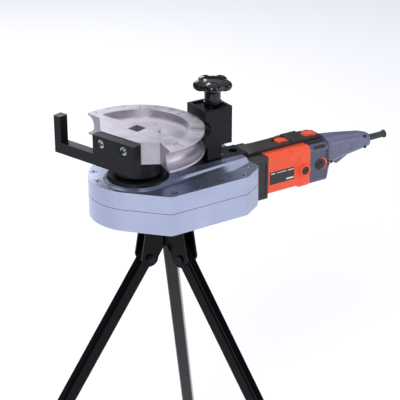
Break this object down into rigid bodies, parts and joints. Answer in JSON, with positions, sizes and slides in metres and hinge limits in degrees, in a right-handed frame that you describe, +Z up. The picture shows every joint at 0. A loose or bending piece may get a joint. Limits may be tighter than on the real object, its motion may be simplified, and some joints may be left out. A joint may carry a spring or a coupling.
{
  "type": "electric tube bender",
  "caption": "Motorised tube bender: grooved former on a flat gearbox with backing block and star knob, in-line motor with handle, on a folding tripod.",
  "frame": {"origin": "on the floor, at the centre of the footprint of the open tripod and machine", "axes": "+Z up along the drive axis; +X along the machine from the former to the handle; +Y to its left"},
  "size_m": [0.8994, 0.8042, 0.9305],
  "materials": {
    "cast_aluminium": "as cast, tumbled satin",
    "machined_aluminium": "turned, satin",
    "black_steel": "black oxide, oiled",
    "tripod_enamel": "black gloss enamel",
    "zinc_steel": "zinc plated",
    "ground_steel": "ground",
    "gear_steel": "case hardened",
    "core_steel": "varnished laminations",
    "copper": "copper segments",
    "brass": "drawn",
    "carbon": "carbon graphite",
    "orange_nylon": "moulded, satin",
    "grey_nylon": "moulded, fine texture",
    "black_nylon": "moulded, satin",
    "black_phenolic": "polished phenolic",
    "label": "printed film",
    "rubber": "moulded"
  },
  "bodies": {
    "machine": {"gearbox_lower_housing": "cast_aluminium", "gearbox_gasket": "rubber", "gearbox_lid": "cast_aluminium", "lid_screws": "black_steel", "support_plate": "black_steel", "support_plate_screws": "black_steel", "bearing_cover": "black_steel", "gearbox_bearings": "ground_steel", "motor_flange": "black_nylon", "flange_screws": "black_steel", "motor_housing": "orange_nylon", "rear_housing": "grey_nylon", "handle_near_shell": "grey_nylon", "handle_far_shell": "grey_nylon", "handle_screws": "zinc_steel", "cable_boot": "rubber", "top_rail": "black_nylon", "rating_plate": "label", "brush_caps": "black_nylon", "carbon_brushes": "carbon", "brush_holders": "brass", "brush_springs": "ground_steel", "armature_bearings": "ground_steel", "rear_bearing_bracket": "core_steel", "stator_core": "core_steel", "trigger_switch": "black_nylon", "trigger_spring": "ground_steel", "tripod_head": "tripod_enamel", "head_bolts": "black_steel", "leg_pivot_bolts": "zinc_steel"},
    "drive": {"drive_shaft": "ground_steel", "drive_hub": "black_steel", "output_gear": "gear_steel"},
    "former": {"bending_former": "machined_aluminium", "holding_bar": "black_steel", "bar_screws": "black_steel"},
    "lay_gears": {"lay_shaft": "ground_steel", "output_pinion": "gear_steel", "middle_gear": "gear_steel"},
    "fast_gears": {"fast_shaft": "ground_steel", "middle_pinion": "gear_steel", "bevel_gear": "gear_steel"},
    "armature": {"armature_shaft": "ground_steel", "armature_core": "core_steel", "commutator": "copper", "cooling_fan": "black_nylon", "motor_pinion": "gear_steel"},
    "back_former": {"back_former": "black_steel", "back_former_pin": "zinc_steel"},
    "knob": {"star_knob": "black_phenolic", "knob_spindle": "zinc_steel"},
    "dial": {"speed_dial": "grey_nylon"},
    "slide": {"direction_slide": "orange_nylon"},
    "trigger": {"trigger": "grey_nylon"},
    "left_leg": {"left_leg": "tripod_enamel", "left_foot_cap": "rubber"},
    "far_leg": {"far_leg": "tripod_enamel", "far_foot_cap": "rubber"},
    "near_leg": {"near_leg": "tripod_enamel", "near_foot_cap": "rubber"}
  },
  "joints": [
    {"name": "drive_turn", "type": "hinge", "parent": "machine", "child": "drive", "pos_m": [-0.04031, 0.03073, 0.7325], "axis": [0, 0, 1], "range_deg": [-107, 75]},
    {"name": "former_lift", "type": "slide", "parent": "drive", "child": "former", "axis": [0, 0, 1], "range_m": [0, 0.06]},
    {"name": "lay_shaft_turn", "type": "hinge", "parent": "machine", "child": "lay_gears", "pos_m": [0.01969, 0.03073, 0.7325], "axis": [0, 0, 1], "range_deg": [-301, 429]},
    {"name": "fast_shaft_turn", "type": "hinge", "parent": "machine", "child": "fast_gears", "pos_m": [0.06169, 0.03073, 0.7325], "axis": [0, 0, 1], "range_deg": [-1570, 1101]},
    {"name": "armature_turn", "type": "hinge", "parent": "machine", "child": "armature", "pos_m": [0.06169, 0.03073, 0.7585], "axis": [1, 0, 0], "range_deg": [-4709, 3301]},
    {"name": "back_former_lift", "type": "slide", "parent": "machine", "child": "back_former", "axis": [0, 0, 1], "range_m": [0, 0.03]},
    {"name": "knob_turn", "type": "hinge", "parent": "back_former", "child": "knob", "pos_m": [0.09569, 0.03073, 0.8925], "axis": [0, 0, 1], "continuous": true},
    {"name": "dial_turn", "type": "hinge", "parent": "machine", "child": "dial", "pos_m": [0.28269, -0.00727, 0.7575], "axis": [0, -1, 0], "range_deg": [0, 270]},
    {"name": "direction_shift", "type": "slide", "parent": "machine", "child": "slide", "axis": [1, 0, 0], "range_m": [-0.005, 0.005]},
    {"name": "trigger_press", "type": "slide", "parent": "machine", "child": "trigger", "axis": [0, 0, 1], "range_m": [0, 0.004], "stiffness_N_per_m": 600, "deforming": ["trigger_spring"]},
    {"name": "left_leg_fold", "type": "hinge", "parent": "machine", "child": "left_leg", "pos_m": [-0.02497, 0.0356, 0.6585], "axis": [-0.1392, -0.9903, 0], "range_deg": [0, 31]},
    {"name": "far_leg_fold", "type": "hinge", "parent": "machine", "child": "far_leg", "pos_m": [0.03124, 0.05831, 0.6585], "axis": [-0.788, 0.6157, 0], "range_deg": [0, 31]},
    {"name": "near_leg_fold", "type": "hinge", "parent": "machine", "child": "near_leg", "pos_m": [0.0228, -0.00172, 0.6585], "axis": [0.9272, 0.3746, 0], "range_deg": [0, 31]}
  ],
  "couplings": [
    {"joint": "lay_shaft_turn", "follows": "drive_turn", "ratio": -4},
    {"joint": "fast_shaft_turn", "follows": "drive_turn", "ratio": 14.667},
    {"joint": "armature_turn", "follows": "drive_turn", "ratio": 44}
  ]
}
